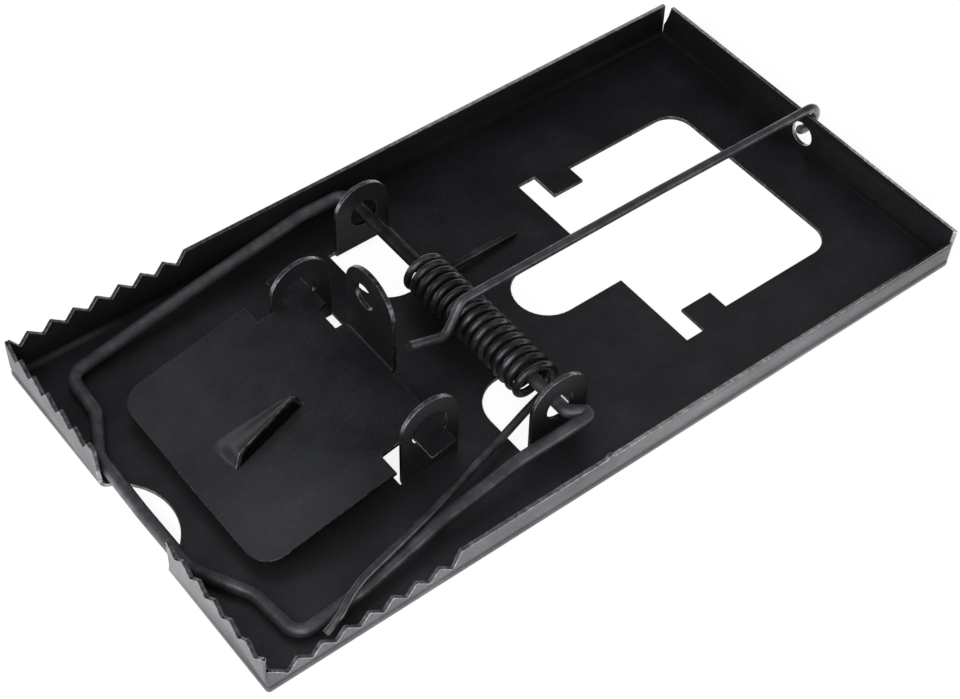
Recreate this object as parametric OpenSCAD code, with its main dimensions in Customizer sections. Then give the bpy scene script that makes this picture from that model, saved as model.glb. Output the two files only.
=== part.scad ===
// All-metal snap trap for mice, shown sprung: a pressed sheet tray carries a
// wire bail with its torsion spring, a bait treadle and a hooked locking rod.
// X runs from the toothed front to the rear, Y across, Z up from the table.

/* [Tray] */
// Length of the tray over its end walls
tray_length = 100; // [95:0.5:115]
// Width of the tray over its long walls
tray_width = 53.2; // [52.5:0.1:64]
// Height of the front, rear and far walls
wall_height = 6.1; // [5.9:0.1:8]
// Height of the near long wall
near_wall_height = 4.8; // [4:0.1:6]
// Thickness of the tray's sheet
sheet = 0.55; // [0.4:0.05:0.7]
// Inner radius where the sheet is bent up
bend_radius = 0.3; // [0.2:0.05:0.5]
// Half of a corner slit at the top of the walls
slit_top = 0.65; // [0.5:0.05:1.2]
// Half of a corner slit at the foot of the walls
slit_foot = 0.3; // [0.2:0.05:0.45]

/* [Teeth and finger notch] */
// Spacing of the teeth along the walls
tooth_pitch = 3; // [2.5:0.1:3.3]
// Depth of the teeth
tooth_depth = 1.5; // [1:0.1:2]
// Teeth along each long wall, counted from the front corner
side_teeth = 8; // [4:1:10]
// Radius of the finger notch in the front wall and floor
notch_radius = 7.4; // [6.5:0.1:8.5]
// How far the notch reaches into the floor
notch_depth = 4.7; // [4:0.1:5]

/* [Axle ears] */
// Middle of the two axle ears, behind the front wall's outer face
axle_ear_inset = 45; // [44.6:0.1:45.4]
// Width of an axle ear
axle_ear_width = 8.2; // [7.6:0.1:9]
// Height of an axle ear above the table
axle_ear_height = 10.2; // [9.6:0.1:12]
// Bore of an axle ear, loose round the wire
axle_bore = 3.8; // [3.4:0.1:4.4]
// Inner face of the far axle ear, from the far wall's outer face
far_ear_inset = 7.4; // [6.6:0.1:8.2]
// Inner face of the near axle ear, from the near wall's outer face
near_ear_inset = 8.8; // [8.6:0.1:9.4]
// How far each axle ear's slot runs on in front of the ear
axle_slot_front = 0.9; // [0.2:0.1:1.2]

/* [Treadle ears] */
// Middle of the two treadle ears, behind the front wall's outer face
treadle_ear_inset = 30.7; // [30.2:0.1:31.2]
// Width of a treadle ear
treadle_ear_width = 7.9; // [7.4:0.1:8.6]
// Height of a treadle ear above the table
treadle_ear_height = 12; // [11.6:0.1:13]
// Bore of a treadle ear, loose round the treadle's pivot tab
treadle_bore = 4.8; // [4:0.1:5.2]
// Running gap between the treadle's neck and each ear
neck_gap = 0.3; // [0.2:0.05:0.6]

/* [Treadle] */
// Width of the treadle's plate
plate_width = 29.6; // [27:0.1:32]
// Length of the treadle's plate
plate_length = 17.9; // [16:0.1:18.3]
// Corner radius of the plate
plate_corner = 3.2; // [2:0.1:4]
// Width of the neck between the two treadle ears
neck_width = 24; // [23:0.1:24.2]
// Length of the neck between the pivot tabs and the plate
neck_length = 4.6; // [4.2:0.1:5.2]
// Width of a pivot tab, along the tray
pivot_tab = 2.7; // [2.2:0.1:3]
// How far a pivot tab stands out from the neck
pivot_tab_reach = 4.05; // [3:0.05:4.4]
// Width of the upright catch
catch_width = 8.7; // [7:0.1:9]
// Length of the tongue that the catch is bent from
catch_length = 12.4; // [11:0.1:13]
// Hole in the catch for the tip of the locking rod
catch_hole = 3.3; // [2.4:0.1:3.8]
// Distance from the top of the catch to the middle of its hole
catch_hole_drop = 4.2; // [3.4:0.1:5]
// Sideways offset of the catch from the middle of the treadle
catch_offset = 0.3; // [0:0.1:1]
// Height of the treadle's pivot line above the table
pivot_height = 7.2; // [6.8:0.1:7.8]
// Downward tilt of the treadle towards the front, at rest
treadle_tilt = 11.4; // [9:0.1:12.5]
// Length of the lanced bait clip
clip_length = 9.8; // [8:0.1:11]
// Width of the bait clip
clip_width = 3.4; // [2.6:0.1:5]
// Rise of the bait clip above the plate
clip_rise = 1.9; // [1.2:0.1:2.6]
// Distance of the bait clip's front end from the plate's front edge
clip_inset = 5.6; // [3:0.1:7]

/* [Rear cut-out] */
// Front edge of the cut-out's pivot tabs, ahead of the rear wall's outer face
cutout_inset = 34; // [33:0.1:35.5]
// Middle of the cut-out, off the centre line
cutout_y = -0.6; // [-1:0.1:1]

/* [Bail] */
// Diameter of the bail's wire
bail_wire = 1.64; // [1.4:0.02:1.8]
// Height of the axle above the table
axle_height = 4.65; // [4.4:0.05:4.9]
// Axle, behind the front wall's outer face
axle_inset = 45.5; // [45.2:0.1:45.8]
// Gap between the far arm at its widest and the far wall
far_arm_gap = 0.88; // [0.6:0.02:1.8]
// Gap between the near arm at its widest and the near wall
near_arm_gap = 1.98; // [1.8:0.02:2.8]
// Gap between the middle of the front bar and the front wall
bar_gap = 0.23; // [0.2:0.01:1]
// How far the bail's corners stay behind the middle of the front bar
bar_joggle = 3.7; // [2.5:0.1:4.2]
// How far the near arm overruns the axle before it turns back
arm_overrun = 2.7; // [2.6:0.1:3]
// Gap between the wire's two ends, inside the spring
axle_end_gap = 1; // [0.5:0.1:3]

/* [Spring] */
// Diameter of the spring's wire
spring_wire = 0.85; // [0.7:0.05:0.85]
// Mean radius of the coil
coil_radius = 2.4; // [2.2:0.05:2.45]
// Whole turns of the coil
coil_turns = 17; // [12:1:17]
// Middle of the coil's first turn, at the far end
coil_start_y = 8.1; // [7.6:0.1:8.4]
// Distance that the coil covers along the axle
coil_span = 21.8; // [21.8:0.1:22.2]
// Length of the fixed leg, from the axle to its end on the floor
fixed_leg = 14.9; // [10:0.1:17]
// Extra room between the moving last turn and the fixed ones
moving_turn_gap = 0.5; // [0.45:0.05:0.8]
// How far the moving leg's end stays behind the bail's corner
moving_leg_stop = 2.4; // [1.5:0.1:4]

/* [Locking rod] */
// Diameter of the rod's wire
rod_wire = 1.2; // [1:0.05:1.3]
// Rod, across the tray
rod_y = -0.8; // [-1.2:0.1:-0.4]
// Bore in the rear wall for the rod's hook
rod_bore = 3.4; // [3:0.1:3.6]
// Sheet left above that bore, which the hook turns round
rod_bridge = 1.4; // [1.2:0.1:1.5]
// Running gap between the hook and that bridge
hook_gap = 0.24; // [0.15:0.02:0.3]
// Reach of the rod's crest past the axle, to the front
crest_reach = 1.4; // [1.3:0.05:1.6]
// Drop of the rod in front of its crest
crest_drop = 3; // [2:0.1:3.2]
// Length of the rod's tip, which hooks into the catch
rod_tip = 5.3; // [3:0.1:6]
// Gap between the rod and the coil that it lies on
rod_seat_gap = 0.2; // [0.1:0.05:0.4]

/* [Hidden] */
$fn = 48;
steel_dark = "#33353a";
steel_wire = "#6d7076";

// Clearances and small sizes that every piece shares
seat_gap = 0.12;
slit = 0.2;
swell = 0.015;
lap = 0.06;
eps = 0.01;

// Places that follow from the sizes above
front_x = -tray_length / 2;
side_y = tray_width / 2;
bend = sheet + bend_radius;
axle_x = front_x + axle_inset;
axle_ear_x = front_x + axle_ear_inset;
treadle_ear_x = front_x + treadle_ear_inset;
far_axle_ear_y = side_y - far_ear_inset;
near_axle_ear_y = side_y - near_ear_inset;
far_arm_y = side_y - sheet - far_arm_gap - bail_wire / 2;
near_arm_y = side_y - sheet - near_arm_gap - bail_wire / 2;
bar_x = front_x + sheet + bar_gap + bail_wire / 2;
corner_x = bar_x + bar_joggle;
cutout_x = tray_length / 2 - cutout_inset;
axle_bore_drop = axle_bore / 2 - bail_wire / 2 - seat_gap;
axle_bore_height = axle_height + sqrt(pow(axle_bore_drop, 2) - pow(axle_x - axle_ear_x, 2));
pivot_x = treadle_ear_x - 0.2;
treadle_y = -0.5;
treadle_ear_gap = neck_width / 2 + neck_gap;
notch_centre = notch_radius - notch_depth;
bar_height = sheet + bail_wire / 2 + 0.1;
hook_height = wall_height - rod_bridge / 2;
hook_x = tray_length / 2 - sheet / 2;
hook_radius = norm([rod_bridge, sheet]) / 2 + rod_wire / 2 + hook_gap;
coil_pitch = coil_span / coil_turns;

function unit(v) = v / norm(v);
function turn_at(a, b, c) = acos(min(1, max(-1, unit(b - a) * unit(c - b))));

// Straight length of round wire between two points
module straight(a, b, d) {
    run = b - a;
    translate(a) rotate([0, acos(run.z / norm(run)), atan2(run.y, run.x)])
        cylinder(h = norm(run), d = d);
}

// Round bend of the wire at b, on its way from a to c. It swells a little, so
// that the straight lengths end inside it.
module elbow(a, b, c, r, d) {
    u = unit(b - a);
    v = unit(c - b);
    half = turn_at(a, b, c) / 2;
    centre = b + unit(v - u) * r / cos(half);
    ex = unit(b - u * r * tan(half) - centre);
    ez = cross(ex, u);
    translate(centre)
        rotate([atan2(u.z, ez.z), asin(-ex.z), atan2(ex.y, ex.x)])
            rotate_extrude(angle = 2 * half) translate([r, 0]) circle(d = d + 2 * swell);
}

// Wire through a list of points: p holds them, r the bend radius at each
module wire(p, r, d) {
    last = len(p) - 1;
    trim = [for (i = [0 : last]) i == 0 || i == last ? 0
        : r[i] * tan(turn_at(p[i - 1], p[i], p[i + 1]) / 2) - lap];
    for (i = [1 : last]) {
        u = unit(p[i] - p[i - 1]);
        straight(p[i - 1] + u * trim[i - 1], p[i] - u * trim[i], d);
    }
    for (i = [1 : last - 1]) elbow(p[i - 1], p[i], p[i + 1], r[i], d);
}

// Outline of the flat blank that the treadle is bent from. Its tongue points
// to -X, and X is zero at the rear edge of the pivot tabs.
module treadle_blank() {
    tab_y = neck_width / 2 + pivot_tab_reach;
    plate_x = pivot_tab + neck_length;
    translate([0, -tab_y]) square([pivot_tab, 2 * tab_y]);
    translate([0, -neck_width / 2]) square([plate_x + eps, neck_width]);
    translate([plate_x, -plate_width / 2])
        square([plate_length - plate_corner, plate_width]);
    translate([plate_x, plate_corner - plate_width / 2])
        square([plate_length, plate_width - 2 * plate_corner]);
    for (side = [-1, 1])
        translate([plate_x + plate_length - plate_corner,
                side * (plate_width / 2 - plate_corner)]) circle(plate_corner);
}

module catch_outline(length) {
    translate([0, -catch_width / 2]) square([length - catch_width / 2, catch_width]);
    translate([length - catch_width / 2, 0]) circle(d = catch_width);
}

// Quarter of a bend, seen along the fold: from the floor up into a wall that
// stands at the left, with its outer face at zero
module bend_profile() {
    intersection() {
        translate([bend, bend]) difference() {
            circle(bend);
            circle(bend_radius);
        }
        square(bend);
    }
}

// Wall with teeth from its left end, standing on its bend: X along, Y up
function wall_outline(length, height, teeth) = concat(
    [[length / 2 - slit_foot, bend], [length / 2 - slit_top, height]],
    [for (i = [teeth - 1 : -1 : 0]) each [
        [(i + 1) * tooth_pitch - length / 2, height],
        [(i + 0.55) * tooth_pitch - length / 2, height - tooth_depth]]],
    [[slit_top - length / 2, height], [slit_foot - length / 2, bend]]);

// Wall and bend together, along X with the outer face at -Y, from the floor up
module tray_wall(length, height, teeth) {
    translate([0, sheet, 0]) rotate([90, 0, 0])
        linear_extrude(sheet) polygon(wall_outline(length, height, teeth));
    translate([-length / 2 + bend, 0, 0]) rotate([90, 0, 90])
        linear_extrude(length - 2 * bend) bend_profile();
}

// Front wall: teeth from both corners, meeting behind the notch
module front_wall() {
    per_side = floor((side_y - notch_radius) / tooth_pitch);
    for (side = [0, 1]) mirror([side, 0, 0]) intersection() {
        tray_wall(tray_width, wall_height, per_side);
        translate([-side_y, -1, 0]) cube([side_y, bend + 1, wall_height + 1]);
    }
}

// Rounded bottom corner where two bends meet
module corner_shell() {
    translate([bend, bend, 0]) rotate([0, 0, 180]) rotate_extrude(angle = 90)
        intersection() {
            translate([0, bend]) difference() {
                circle(bend);
                circle(bend_radius);
            }
            square(bend);
        }
}

// Ear lanced out of the floor and bent up: its face towards the middle of the
// tray is at Y zero, and the sheet lies behind it
module ear(width, height, bore, bore_x, bore_height) {
    translate([0, sheet, 0]) rotate([90, 0, 0]) linear_extrude(sheet) difference() {
        union() {
            translate([-width / 2, bend]) square([width, height - width / 2 - bend]);
            translate([0, height - width / 2]) circle(d = width);
        }
        translate([bore_x, bore_height]) circle(d = bore);
    }
    translate([-width / 2, 0, 0]) rotate([90, 0, 90]) linear_extrude(width) bend_profile();
}

// Slot that an ear leaves in the floor, from its root towards the middle
module ear_slot(width, height, front) {
    reach = height - width / 2;
    translate([-width / 2 - front, bend - reach]) square([width + front, reach]);
    translate([-front / 2, bend - reach]) circle(d = width + front);
}

// Floor with everything that was punched out of it
module floor_outline() {
    difference() {
        square([tray_length - 2 * bend, tray_width - 2 * bend], center = true);
        translate([front_x - notch_centre, treadle_y]) circle(notch_radius);
        for (side = [-1, 1]) {
            axle_y = side > 0 ? far_axle_ear_y : near_axle_ear_y;
            translate([axle_ear_x, side * axle_y]) mirror([0, side < 0 ? 1 : 0])
                ear_slot(axle_ear_width, axle_ear_height, axle_slot_front);
            translate([treadle_ear_x, treadle_y + side * treadle_ear_gap])
                mirror([0, side < 0 ? 1 : 0])
                    ear_slot(treadle_ear_width, treadle_ear_height, 0.3);
        }
        translate([cutout_x, cutout_y]) {
            treadle_blank();
            translate([eps, catch_offset]) mirror([1, 0]) catch_outline(catch_length + eps);
        }
    }
}

module base_tray() {
    color(steel_dark) difference() {
        union() {
            linear_extrude(sheet) floor_outline();
            translate([0, side_y, 0]) mirror([0, 1, 0])
                tray_wall(tray_length, wall_height, side_teeth);
            translate([0, -side_y, 0]) tray_wall(tray_length, near_wall_height, side_teeth);
            translate([axle_ear_x, -side_y + sheet, near_wall_height - 0.3])
                rotate([90, 0, 0]) cylinder(h = sheet, d = 2.4);
            translate([front_x, 0, 0]) rotate([0, 0, -90]) front_wall();
            translate([tray_length / 2, 0, 0]) rotate([0, 0, 90])
                tray_wall(tray_width, wall_height, 0);
            for (flip_x = [0, 1]) for (flip_y = [0, 1])
                mirror([flip_x, 0, 0]) mirror([0, flip_y, 0])
                    translate([front_x, -side_y, 0]) corner_shell();
            translate([axle_ear_x, far_axle_ear_y, 0])
                ear(axle_ear_width, axle_ear_height, axle_bore, 0, axle_bore_height);
            translate([axle_ear_x, -near_axle_ear_y, 0]) mirror([0, 1, 0])
                ear(axle_ear_width, axle_ear_height, axle_bore, 0, axle_bore_height);
            for (side = [0, 1])
                translate([treadle_ear_x, treadle_y, 0]) mirror([0, side, 0])
                    translate([0, treadle_ear_gap, 0])
                        ear(treadle_ear_width, treadle_ear_height, treadle_bore,
                            pivot_x - treadle_ear_x + 0.1, pivot_height + 0.1);
        }
        // finger notch through the front wall and its bend
        translate([front_x - 1, treadle_y, notch_centre]) rotate([0, 90, 0])
            cylinder(h = bend + 1, r = notch_radius);
        translate([front_x - 1, treadle_y - notch_radius, notch_centre])
            cube([bend + 1, 2 * notch_radius, wall_height]);
        // bore for the locking rod's hook
        translate([tray_length / 2 - bend, rod_y, wall_height - rod_bridge - rod_bore / 2])
            rotate([0, 90, 0]) cylinder(h = bend + 1, d = rod_bore);
    }
}

// The bail is one wire: axle end, far arm, joggled front bar, near arm that
// overruns the axle and turns back into the near ear, and the other axle end
arm_rise = axle_height - bar_height;
end_y = -2.5;
near_turn_y = -near_axle_ear_y - sheet - 0.35;
bail_points = [
    [axle_x, end_y + axle_end_gap / 2, axle_height],
    [axle_x, far_arm_y - 0.55, axle_height],
    [axle_x - 6, far_arm_y, axle_height - arm_rise * 0.15],
    [corner_x - 0.55, far_arm_y - 3, bar_height],
    [corner_x - 0.55, notch_radius + 8, bar_height],
    [bar_x, notch_radius + 1, bar_height],
    [bar_x, -notch_radius - 1.6, bar_height],
    [corner_x + 0.3, -notch_radius - 9.2, bar_height],
    [corner_x + 0.3, -near_arm_y, bar_height],
    [corner_x + 9.5, 0.15 - near_arm_y, bar_height + arm_rise * 0.2],
    [axle_x - 8, 2.5 - near_arm_y, axle_height - arm_rise * 0.18],
    [axle_x + arm_overrun, 2.3 - near_arm_y, axle_height + 0.1],
    [axle_x, near_turn_y, axle_height],
    [axle_x, end_y - axle_end_gap / 2, axle_height]];
bail_bends = [0, 1.7, 5, 1.8, 3, 3, 3, 3, 2.4, 8, 8, 0.95, 0.95, 0];

module bail() {
    $fn = 24;
    color(steel_wire) wire(bail_points, bail_bends, bail_wire);
}

// Ring of six points round a tube's centre line at p, square to direction t
function tube_ring(p, t, d) =
    let (u = unit(cross(t, [0, 1, 0])), v = cross(t, u))
    [for (k = [0 : 5]) p + d / 2 * (cos(60 * k) * u + sin(60 * k) * v)];

// One unbroken tube along the points of a path
module tube(path, d) {
    n = len(path);
    points = [for (i = [0 : n - 1]) each tube_ring(path[i],
        unit(unit(path[min(i + 1, n - 1)] - path[max(i - 1, 0)])), d)];
    sides = [for (i = [0 : n - 2]) for (k = [0 : 5])
        let (a = 6 * i + k, b = 6 * i + (k + 1) % 6) each [[a, a + 6, b], [b, a + 6, b + 6]]];
    caps = [for (k = [1 : 4]) each [[0, k, k + 1],
        [6 * n - 6, 6 * n - 5 + k, 6 * n - 6 + k]]];
    polyhedron(points, concat(sides, caps), convexity = 10);
}

// Point of the helix after a number of turns from the foot of the far end,
// winding towards the near end: down at the rear, up at the front
function coil_point(turns) = [
    axle_x - coil_radius * sin(360 * turns),
    coil_start_y - coil_pitch * turns,
    axle_height - coil_radius * cos(360 * turns)];

// The spring is one wire. Its turns stay with the tray and its near leg rides
// with the bail, so it is parted on a short straight at the rear of the coil.
part_half = asin((spring_wire + 0.1) / coil_radius) / 360;
coil_end = coil_turns - 0.25 - part_half;
coil_down = [0, -coil_pitch * part_half * 0.9, -spring_wire];
coil_path = concat(
    [[axle_x + fixed_leg, coil_start_y + 0.9, sheet + spring_wire / 2 + 0.1],
     [axle_x + fixed_leg - spring_wire, coil_start_y + 0.85, sheet + spring_wire / 2 + 0.16],
     [axle_x + 2.2, coil_start_y + 0.15, axle_height - coil_radius - 0.15]],
    [for (i = [0 : floor(8 * coil_end)]) coil_point(i / 8)],
    [coil_point(coil_end), coil_point(coil_end) + coil_down]);

arm_start = coil_turns - 0.25 + part_half;
leg_over = bail_wire / 2 + spring_wire / 2 + 0.2;
leg_x = corner_x + moving_leg_stop;
function arm_height(x) = bar_height + arm_rise * (x - corner_x) / (axle_x - corner_x);
aside = [0, -moving_turn_gap, 0];
arm_path = [
    coil_point(arm_start) + aside - coil_down,
    coil_point(arm_start) + aside,
    coil_point(coil_turns - 0.125) + aside,
    coil_point(coil_turns) + aside,
    coil_point(coil_turns) + aside + [-1.2, -0.35, 0],
    [axle_x - 13, 5.55 - near_arm_y, axle_height - 2.05],
    [leg_x + 12.8, 1.6 - near_arm_y, arm_height(leg_x + 12.8) + leg_over],
    [leg_x + 7.3, 0.2 - near_arm_y, arm_height(leg_x + 7.3) + leg_over],
    [leg_x + 4.6, -near_arm_y - 0.55, arm_height(leg_x + 4.6) + leg_over],
    [leg_x + 3, -near_arm_y - 1.25, bar_height + 1.2],
    [leg_x + 0.8, -near_arm_y - 1.5, bar_height + 0.2],
    [leg_x, -near_arm_y - 1.55, bar_height - 0.15]];

// Least gap of the tube to itself, over points more than half a turn apart
function self_gap(path, d) = min([for (i = [0 : len(path) - 1])
    for (j = [i + 5 : 1 : len(path) - 1]) norm(path[i] - path[j])]) - d;

module spring_coil() {
    echo("spring_coil: least gap to itself in mm", self_gap(coil_path, spring_wire));
    color(steel_wire) tube(coil_path, spring_wire);
}

module spring_arm() {
    echo("spring_arm: least gap to itself in mm", self_gap(arm_path, spring_wire));
    color(steel_wire) tube(arm_path, spring_wire);
}

// Lanced strap over the plate, seen from the side: X along, Y up
module clip_profile() {
    low = -sheet / 2;
    high = clip_rise + sheet / 2;
    polygon([[0, low], [0, -low], [1.3, high], [clip_length - 1.3, high],
        [clip_length, -low], [clip_length, low], [clip_length - sheet, low],
        [clip_length - 1.3 - sheet / 2, high - sheet], [1.3 + sheet / 2, high - sheet],
        [sheet, low]]);
}

module treadle() {
    rear = pivot_tab / 2;
    clip_x = rear - pivot_tab - neck_length - plate_length + clip_inset;
    clip_y = -1.3;
    fold = 90 - treadle_tilt;
    color(steel_dark) translate([pivot_x, treadle_y, pivot_height])
    rotate([0, -treadle_tilt, 0]) {
        translate([0, 0, -sheet / 2]) linear_extrude(sheet) difference() {
            translate([rear, 0]) mirror([1, 0]) treadle_blank();
            translate([clip_x + sheet, clip_y - slit / 2])
                square([clip_length - 2 * sheet, clip_width + slit]);
        }
        translate([clip_x, clip_y + clip_width, 0]) rotate([90, 0, 0])
            linear_extrude(clip_width) clip_profile();
        // the tongue's bend, and the catch that stands upright on it
        translate([rear, catch_offset, sheet / 2 + bend_radius]) {
            translate([0, swell - catch_width / 2, 0]) rotate([90, 0, 0])
                rotate([0, 0, -90]) rotate_extrude(angle = fold)
                    translate([bend_radius, 2 * swell - catch_width])
                        square([sheet, catch_width - 2 * swell]);
            rotate([0, treadle_tilt, 0]) translate([bend_radius, 0, 0])
                rotate([0, -90, 0]) mirror([0, 0, 1]) linear_extrude(sheet)
                    difference() {
                        catch_outline(catch_length - 0.8);
                        translate([catch_length - 0.8 - catch_hole_drop, 0.8])
                            circle(d = catch_hole);
                    }
        }
    }
}

// Rod with its hook round the bridge of the rear wall. It lies on the coil,
// drops in front of it and ends in a short tip.
module locking_rod() {
    crest = [axle_x - crest_reach, rod_y,
        axle_height + coil_radius + (spring_wire + rod_wire) / 2 + rod_seat_gap];
    run = [hook_x - crest.x, crest.z - hook_height];
    rise = atan2(run.y, run.x) - asin(hook_radius / norm(run));
    foot = crest + [-3.2, -0.9, -crest_drop];
    lift = 90 - rise;
    start = [hook_x + hook_radius * cos(lift), rod_y, hook_height + hook_radius * sin(lift)];
    $fn = 24;
    color(steel_wire) {
        translate([hook_x, rod_y, hook_height]) rotate([90, 0, 0]) rotate([0, 0, -125])
            rotate_extrude(angle = 125 + lift)
                translate([hook_radius, 0]) circle(d = rod_wire + 2 * swell);
        wire([start + unit(start - crest) * lap, crest, foot, foot + [-rod_tip, 0.1, rod_tip / 3]], [0, 1.2, 1.2, 0], rod_wire);
    }
}

base_tray();
bail();
spring_coil();
spring_arm();
treadle();
locking_rod();
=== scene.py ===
# An all-metal snap trap for mice, lying sprung with its rod across the coil.
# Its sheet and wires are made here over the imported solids, in the same frame.
import math
from collections import namedtuple

import bpy
import numpy as np
from mathutils import Matrix, Vector, noise
from mathutils.geometry import delaunay_2d_cdt


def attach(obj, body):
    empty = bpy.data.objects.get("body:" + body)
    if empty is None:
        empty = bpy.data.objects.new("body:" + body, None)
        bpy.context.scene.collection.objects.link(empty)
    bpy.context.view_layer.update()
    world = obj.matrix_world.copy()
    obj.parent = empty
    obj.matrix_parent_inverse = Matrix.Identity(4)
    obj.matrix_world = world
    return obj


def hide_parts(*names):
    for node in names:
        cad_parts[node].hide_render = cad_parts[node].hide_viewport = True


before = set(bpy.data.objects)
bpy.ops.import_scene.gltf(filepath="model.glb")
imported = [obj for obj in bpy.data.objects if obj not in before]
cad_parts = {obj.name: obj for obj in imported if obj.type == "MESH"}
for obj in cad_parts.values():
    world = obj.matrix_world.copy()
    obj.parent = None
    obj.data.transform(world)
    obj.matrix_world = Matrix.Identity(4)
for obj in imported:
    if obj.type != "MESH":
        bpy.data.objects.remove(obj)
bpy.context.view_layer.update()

# Table, light and camera
# The trap lies on a matt white table that curls up at its far edges. One broad
# soft light stands low at the camera's left, and the room above the trap is dim.


def colour(code):
    """Linear colour of a six-figure sRGB code."""
    parts = [int(code[i:i + 2], 16) / 255 for i in (1, 3, 5)]
    return [p / 12.92 if p <= 0.04045 else ((p + 0.055) / 1.055) ** 2.4 for p in parts] + [1.0]


def add(tree, kind, settings=None, inputs=None):
    """New node with its settings; an input is a value or another node's output."""
    made = tree.nodes.new("ShaderNode" + kind)
    for key, value in (settings or {}).items():
        if key == "stops":
            stops = made.color_ramp.elements
            while len(stops) < len(value):
                stops.new(0.5)
            for stop, (place, tone) in zip(stops, value):
                stop.position, stop.color = place, tone
        else:
            setattr(made, key, value)
    for key, value in (inputs or {}).items():
        if isinstance(value, bpy.types.NodeSocket):
            tree.links.new(value, made.inputs[key])
        else:
            made.inputs[key].default_value = value
    return made


def new_finish(name):
    """Empty material: its tree, its output and the coordinates of the piece."""
    made = bpy.data.materials.new(name)
    made.use_nodes = True
    made.node_tree.nodes.clear()
    return made, made.node_tree, add(made.node_tree, "OutputMaterial"), add(
        made.node_tree, "TexCoord")


def new_piece(name, mesh, *finishes):
    """Object in the scene that shows a mesh in its finishes."""
    for finish in finishes:
        mesh.materials.append(finish)
    piece = bpy.data.objects.new(name, mesh)
    bpy.context.scene.collection.objects.link(piece)
    return piece


# matt white table paint: plain white to the eye and in the metal, soft shadow
table_paint, tree, out, where = new_finish("matt white table paint")
path = add(tree, "LightPath")
spot = add(tree, "SeparateXYZ", None, {0: where.outputs["Object"]})
HALF_FOOT = {"X": 0.050, "Y": 0.0266}  # half of what the tray covers of the table
SHOWN, MIRROR_GAIN = 0.85, 0.5         # how strongly the table shows, and more in the metal
parts = []
for axis, reach in HALF_FOOT.items():
    away = add(tree, "Math", {"operation": "ABSOLUTE"}, {0: spot.outputs[axis]})
    parts.append(add(tree, "Math", {"operation": "DIVIDE"}, {0: away.outputs[0], 1: reach}))
past = add(tree, "Math", {"operation": "MAXIMUM"},
           {0: parts[0].outputs[0], 1: parts[1].outputs[0]})
# painted shadow: the steel mirrors the table beside the trap, and the table under the trap only
# dimly, painted dark as the trap's shade there
clear_of_painted_shadow = add(tree, "MapRange", None, {"Value": past.outputs[0], "From Min": 0.90,
                                          "From Max": 0.98, "To Min": 0.1, "To Max": 1.0})
mirrored = add(tree, "Math", {"operation": "MULTIPLY"},
               {0: path.outputs["Is Glossy Ray"], 1: clear_of_painted_shadow.outputs[0]})
seen = add(tree, "Math", {"operation": "MAXIMUM"},
           {0: path.outputs["Is Camera Ray"], 1: mirrored.outputs[0]})
seen = add(tree, "Math", {"operation": "MAXIMUM"},
           {0: seen.outputs[0], 1: path.outputs["Is Transmission Ray"]})
strong = add(tree, "Math", {"operation": "MULTIPLY_ADD"},
             {0: mirrored.outputs[0], 1: MIRROR_GAIN, 2: SHOWN})
white = add(tree, "Emission", None, {"Color": colour("#ffffff"),
                                     "Strength": strong.outputs[0]})
paint = add(tree, "BsdfDiffuse", None, {"Color": colour("#c4c4c4")})
both = add(tree, "AddShader", None, {0: white.outputs[0], 1: paint.outputs[0]})
shown = add(tree, "MixShader", None,
            {0: seen.outputs[0], 1: paint.outputs[0], 2: both.outputs[0]})
tree.links.new(shown.outputs[0], out.inputs["Surface"])

# radius and height of the table's top, which curls up at its rim, in metres
rings = [(0.0, 0.0), (0.3, 0.0), (0.8, 0.0), (1.2, 0.0), (1.35, 0.02), (1.46, 0.08),
         (1.52, 0.18), (1.55, 0.42)]
around = 72
points = [(0, 0, 0)] + [
    (r * math.cos(math.tau * k / around), r * math.sin(math.tau * k / around), z)
    for r, z in rings[1:] for k in range(around)]
faces = [(0, 1 + k, 1 + (k + 1) % around) for k in range(around)]
for ring in range(len(rings) - 2):
    low, high = 1 + ring * around, 1 + (ring + 1) * around
    faces += [(low + k, high + k, high + (k + 1) % around, low + (k + 1) % around)
              for k in range(around)]
mesh = bpy.data.meshes.new("table")
mesh.from_pydata(points, [], faces)
mesh.shade_smooth()
table = new_piece("table", mesh, table_paint)

# a dim grey room, a little lighter overhead than at the height of the walls
room = bpy.data.worlds.new("dim room")
bpy.context.scene.world = room
room.use_nodes = True
tree = room.node_tree
where = add(tree, "TexCoord")
height = add(tree, "SeparateXYZ", None, {0: where.outputs["Generated"]})
level = add(tree, "MapRange", None, {"Value": height.outputs["Z"], "From Min": 0.62,
                                     "From Max": 0.85, "To Min": 0.11, "To Max": 0.26})
tree.links.new(level.outputs[0], tree.nodes["Background"].inputs["Strength"])
tree.nodes["Background"].inputs["Color"].default_value = colour("#f4f6fa")


def soft_light(name, azimuth, height, distance, size, watts):
    """Soft box aimed at the trap; azimuth runs from +X towards +Y, in degrees."""
    a, h = math.radians(azimuth), math.radians(height)
    lamp = bpy.data.lights.new(name, "AREA")
    lamp.shape, lamp.size, lamp.size_y, lamp.energy = "RECTANGLE", size[0], size[1], watts
    box = bpy.data.objects.new(name, lamp)
    box.location = Vector((math.cos(h) * math.cos(a), math.cos(h) * math.sin(a),
                           math.sin(h))) * distance
    box.rotation_euler = (-box.location).to_track_quat("-Z", "Y").to_euler()
    bpy.context.scene.collection.objects.link(box)


soft_light("key light", azimuth=-152, height=36, distance=0.8, size=(0.9, 0.7), watts=3.0)

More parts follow.
